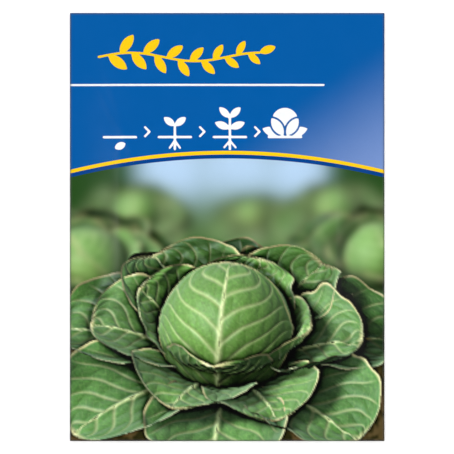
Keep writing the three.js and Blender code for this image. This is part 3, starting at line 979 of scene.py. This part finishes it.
# twelve numbered cells in a row
def monthShapes(x, y):
    months = backDesign["months"]
    left, width, level, tall = (months[key] for key in ("left", "width", "level", "tall"))
    size, step = months["digit"], months["step"]
    right = left + 12 * width
    lines = [[(left, at), (right, at)] for at in (level, level + tall)]
    lines += [[(left + i * width, level), (left + i * width, level + tall)] for i in range(13)]
    shapes = [stroke(x, y, line, months["line"]) for line in lines]
    for i in range(12):
        text = str(i + 1)
        start = left + (i + 0.5) * width - size * (step * len(text) - 0.2) / 2
        for k, digit in enumerate(text):
            run = [(start + size * (px + step * k), level + (tall - size) / 2 + size * py)
                   for px, py in digitStrokes[digit]]
            shapes.append(stroke(x, y, run, months["stroke"]))
    return joined(*shapes)


# a line with a barbed tip at each end, and barbs a millimetre wide to each side
def doubleArrow(x, y, start, end, barb, inset, half):
    start, end = np.array(start), np.array(end)
    along = (end - start) / np.linalg.norm(end - start)
    aside = np.array([-along[1], along[0]])
    shapes = [stroke(x, y, [start + inset * along, end - inset * along], half)]
    for tip, inward in ((start, along), (end, -along)):
        shapes.append(stroke(x, y, [tip + barb * inward + aside, tip, tip + barb * inward - aside], half))
    return joined(*shapes)


# a disc and eight rays
def sunSign(x, y, signs):
    start, end = signs["rays"]
    shapes = [disc(x, y, 0, 0, signs["sun"])]
    for turn in np.radians(np.arange(0, 360, 45)):
        ray = np.array([math.cos(turn), math.sin(turn)])
        shapes.append(stroke(x, y, [start * ray, end * ray], signs["half"]))
    return joined(*shapes)


# a drop of water
def waterSign(x, y, signs):
    return dropShape(x, y, 0, *signs["drop"])


# two plants with the distance between them
def spacingSign(x, y, signs):
    foot, top = signs["stem"]
    shapes = [doubleArrow(x, y, **signs["spacing"])]
    for at in signs["plants"]:
        shapes.append(stroke(x - at, y, [(0, foot), (0, top)], signs["half"]))
        shapes.append(leafPair(x - at, y, (0, signs["leafLevel"]), *signs["leaf"]))
    return joined(*shapes)


# a seed below the ground with its depth
def depthSign(x, y, signs):
    return joined(stroke(x, y, signs["ground"], signs["half"]), leafShape(x, y, *signs["seed"]),
                  doubleArrow(x, y, **signs["depth"]))


# the signs in a row, each in a ring
def signShapes(x, y):
    signs = backDesign["signs"]
    up = y - signs["level"]
    shapes = []
    for i, sign in enumerate((sunSign, waterSign, spacingSign, depthSign)):
        right = x - signs["first"] - i * signs["pitch"]
        ring = np.abs(disc(right, up, 0, 0, signs["radius"])) - signs["half"]
        shapes += [ring, sign(right, up, signs)]
    return joined(*shapes)


# colour and ink distances of the back's print. Seen from behind, x runs the other way
def backPrint(x, y):
    x = -x
    box, months = backDesign["stampBox"], backDesign["months"]
    frameLine = [(box["left"], box["top"]), (box["right"], box["top"]), (box["right"], box["bottom"]),
                 (box["left"], box["bottom"]), (box["left"], box["top"])]
    blue = joined(monthShapes(x, y), signShapes(x, y), stroke(x, y, frameLine, box["half"]))
    bleed = (y < -halfHeight + backDesign["bleed"])[..., None]
    # along the paper, the picture goes on from the front round the bottom fold
    runOn = pictureAt(-x, -2 * halfHeight - math.pi * endRadius - y)
    printed = dict(inkTone=np.where(bleed, runOn, linearOf(backDesign["paper"])), blueInk=blue)
    for ink, first, last, level in backDesign["bars"]:
        start, end = (months["left"] + months["width"] * month
                      for month in (first - 1 + backDesign["barInset"], last - backDesign["barInset"]))
        printed[ink + "Ink"] = stroke(x, y, [(start, level), (end, level)], backDesign["barHalf"])
    return printed


backPaper = printedPaper("offsetPrintedPaperBack", [
    (ink + "Ink", backDesign[ink]) for ink in ("blue", "green", "yellow", "rust")])


# from its free top edge over the step of the closing flap down to the bottom fold, and round to the crest
def backPanel():
    months, signs, margin = backDesign["months"], backDesign["signs"], backDesign["rowMargin"]
    ends = [halfHeight - packet["shortfall"],
            months["level"] + months["tall"] + margin, months["level"] - margin,
            signs["level"] + signs["radius"] + margin, signs["level"] - signs["radius"] - margin, -halfHeight]
    bands = [evenly(start, end, packet["backCell"] * cells)
             for start, end, cells in zip(ends[:-1], ends[1:], backDesign["rowCells"])]
    levels = np.unique(np.concatenate(bands))[::-1]
    turn = np.concatenate([0 * levels + math.pi, onward[-2::-1]])[:, None]
    y = np.concatenate([levels, [-halfHeight] * packet["foldSteps"]])[:, None]
    half = halfWidth(-halfHeight)
    x = evenly(half, -half, packet["backCell"])[None, :]
    bent = edgeLevel + endRadius * (np.cos(turn) - 1)
    level = np.where(turn < math.pi - 1e-6, bent, backLevel(y))
    points = np.stack(np.broadcast_arrays(x, y - endRadius * np.sin(turn), level), axis=-1)
    printed = backPrint(points[..., 0], y - endRadius * (math.pi - turn) + 0 * x)
    return paperPiece("back_panel", points, printed, backPaper, packet["skip"], packet["foldSteps"])


backPanel()
print("paper packet folded")


# Inner sachet

foilFinish = dict(silver=("#b9bdc0", "#d8dadb"), cloud=9.0, crumple=4.0, dull=(0.28, 0.46), relief=0.1)


# paper, foil and film laminate: satin silver with small crumples and cloudy dullness
def foilLaminate():
    material, tree = newMaterial("paperFoilLaminate")
    place = addNode(tree, "TexCoord").outputs["Object"]
    crumple = addNode(tree, "TexVoronoi", {"Vector": place, "Scale": 1 / (foilFinish["crumple"] * mm)},
                      feature="DISTANCE_TO_EDGE").outputs["Distance"]
    cloud = addNode(tree, "TexNoise", {"Vector": place, "Scale": 1 / (foilFinish["cloud"] * mm),
                                       "Detail": 4.0}).outputs["Fac"]
    darker, paler = foilFinish["silver"]
    colour = addNode(tree, "Mix", {0: cloud, 6: inkOf(darker), 7: inkOf(paler)}, data_type="RGBA").outputs[2]
    least, most = foilFinish["dull"]
    dull = addNode(tree, "MapRange", {"Value": cloud, "To Min": least, "To Max": most}).outputs["Result"]
    relief = addNode(tree, "Bump", {"Height": crumple, "Strength": 0.25,
                                    "Distance": foilFinish["relief"] * mm})
    shader = addNode(tree, "BsdfPrincipled", {"Base Color": colour, "Metallic": 1.0, "Roughness": dull,
                                              "Normal": relief.outputs["Normal"]})
    addNode(tree, "OutputMaterial", {"Surface": shader.outputs["BSDF"]})
    return material


foil = foilLaminate()


# a film on the sachet's outline: raised over the contents inside the seal, creased there, crimped on the seal
def sachetFilm(name, replaced, base, rise):
    x = evenly(-sachet["width"] / 2, sachet["width"] / 2, sachet["cell"])[None, :]
    y = evenly(sachet["height"] / 2, -sachet["height"] / 2, sachet["cell"])[:, None]
    across = x / (sachet["width"] / 2 - sachet["seal"])
    along = y / (sachet["height"] / 2 - sachet["seal"])
    lift = crown(across, sachet["crownPower"]) * crown(along, sachet["crownPower"])
    sealed = smooth(sachet["crimpFrom"], 1.0, np.maximum(np.abs(across), np.abs(along)))
    crimp = sachet["crimpDepth"] * sealed * np.sin(2 * np.pi * (x + y) / sachet["crimpPitch"] / math.sqrt(2))
    rng = np.random.default_rng(sachet["draw"])
    fold = np.abs(waves(rng, x, y, sachet["creaseCount"], *sachet["creaseLengths"]))
    crease = sachet["crease"] * lift * (fold - 1)
    z = base + rise * lift + crimp + crease * (rise > 0)
    points = np.stack(np.broadcast_arrays(x, y + sachet["centre"], z), axis=-1)
    sheet = sheetFaces(points, sachet["film"], 1)
    return newPiece(name, sheet["vertices"], sheet["faces"], foil, replaced)


filmBase = pitch + sachet["film"] / 2
sachetFilm("sachet_back", "sachet_back_film", filmBase, 0.0)
sachetFilm("sachet_front", "sachet_front_film", filmBase + sachet["film"] + packet["glue"], sachet["swell"])
print("sachet sealed")


# Seeds

grain = dict(length=7.2, width=3.9, thick=2.7, fullness=0.85, blunt=0.2, ribs=5, ribDepth=0.05,
             rings=22, sides=36)
# patterns per millimetre, their stretch along the seed, and the ranges of flecks and dullness
coatFinish = dict(pale="#8f806a", dark="#6d5f4d", fleck="#33291f", flecks=2.2, clouds=0.7, stretch=0.3,
                  fleckRange=(0.52, 0.62), dull=(0.42, 0.66), relief=0.06)


# dry seed coat: grey-brown, satin, with dark flecks that run along the seed. The place is in millimetres
def seedCoat():
    material, tree = newMaterial("drySeedCoat")
    place = addNode(tree, "Attribute", attribute_name="seedPlace").outputs["Vector"]
    pale, dark, fleckInk = (inkOf(coatFinish[key]) for key in ("pale", "dark", "fleck"))
    stretch = (coatFinish["stretch"], 1.0, 1.0)
    along = addNode(tree, "VectorMath", {0: place, 1: stretch}, operation="MULTIPLY").outputs[0]
    fleck = addNode(tree, "TexNoise", {"Vector": along, "Scale": coatFinish["flecks"], "Detail": 5.0,
                                       "Roughness": 0.65}).outputs["Fac"]
    cloud = addNode(tree, "TexNoise", {"Vector": place, "Scale": coatFinish["clouds"],
                                       "Detail": 2.0}).outputs["Fac"]
    base = addNode(tree, "Mix", {0: cloud, 6: pale, 7: dark}, data_type="RGBA").outputs[2]
    least, most = coatFinish["fleckRange"]
    cover = addNode(tree, "MapRange", {"Value": fleck, "From Min": least, "From Max": most}).outputs["Result"]
    colour = addNode(tree, "Mix", {0: cover, 6: base, 7: fleckInk}, data_type="RGBA").outputs[2]
    least, most = coatFinish["dull"]
    dull = addNode(tree, "MapRange", {"Value": fleck, "To Min": least, "To Max": most}).outputs["Result"]
    relief = addNode(tree, "Bump", {"Height": fleck, "Strength": 0.3, "Distance": coatFinish["relief"] * mm})
    shader = addNode(tree, "BsdfPrincipled", {"Base Color": colour, "Roughness": dull,
                                              "Normal": relief.outputs["Normal"]})
    addNode(tree, "OutputMaterial", {"Surface": shader.outputs["BSDF"]})
    return material


# a plump drop on its side: radius is a power of the sine of the angle along it, fuller at the blunt end, with
# low ribs, flattened to its thickness. The ends are single points
def seedShape():
    angle = np.linspace(0, math.pi, grain["rings"] + 1)[1:-1, None]
    turn = np.linspace(0, 2 * math.pi, grain["sides"], endpoint=False)[None, :]
    rib = 1 + grain["ribDepth"] * np.sin(angle) * (np.abs(np.sin(grain["ribs"] * turn / 2)) - 0.6)
    plump = np.sin(angle) ** grain["fullness"] * (1 + grain["blunt"] * np.cos(angle))
    across, up = grain["width"] / 2 * plump * rib, grain["thick"] / 2 * plump * rib
    along = grain["length"] / 2 * np.cos(angle) + 0 * turn
    rings = np.stack([along, across * np.cos(turn), up * np.sin(turn)], axis=-1)
    ends = [[grain["length"] / 2, 0, 0], [-grain["length"] / 2, 0, 0]]
    rows, sides = rings.shape[:2]
    number = np.arange(rows * sides).reshape(rows, sides)
    beside = np.roll(number, -1, axis=1)
    wall = np.stack([number[:-1], number[1:], beside[1:], beside[:-1]], axis=-1).reshape(-1, 4)
    tip = np.full(sides, rows * sides)
    caps = np.concatenate([np.stack([tip, number[0], beside[0]], axis=-1),
                           np.stack([tip + 1, beside[-1], number[-1]], axis=-1)])
    return np.concatenate([rings.reshape(-1, 3), ends]), wall.tolist() + caps.tolist()


# each seed takes its place, turn and size from the frame: its middle, its long direction and its blunt end
def layOutSeeds():
    shape, faces = seedShape()
    coat = seedCoat()
    for node in sorted(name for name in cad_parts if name.startswith("seed_")):
        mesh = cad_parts[node].data
        spots = np.empty(3 * len(mesh.vertices))
        mesh.vertices.foreach_get("co", spots)
        spots = spots.reshape(-1, 3) / mm
        flat = spots[:, :2] - spots[:, :2].mean(0)
        direction = np.linalg.eigh(flat.T @ flat)[1][:, 1]
        axes = np.stack([direction, [-direction[1], direction[0]]])
        along, across = axes @ flat.T
        if np.sum(along * np.abs(across)) < 0:
            axes = -axes
        turned = spots[:, :2] @ axes.T
        points = shape * np.ptp(turned[:, 0]) / grain["length"]
        flatPlace = (points[:, :2] + (turned.max(0) + turned.min(0)) / 2) @ axes
        height = points[:, 2] - points[:, 2].min() + spots[:, 2].min()
        place = np.concatenate([flatPlace, height[:, None]], axis=1)
        middle = (spots.min(0) + spots.max(0)) / 2
        newPiece("loose_" + node, place, faces, coat, node, {"seedPlace": shape + middle})


layOutSeeds()
print("seeds laid out")
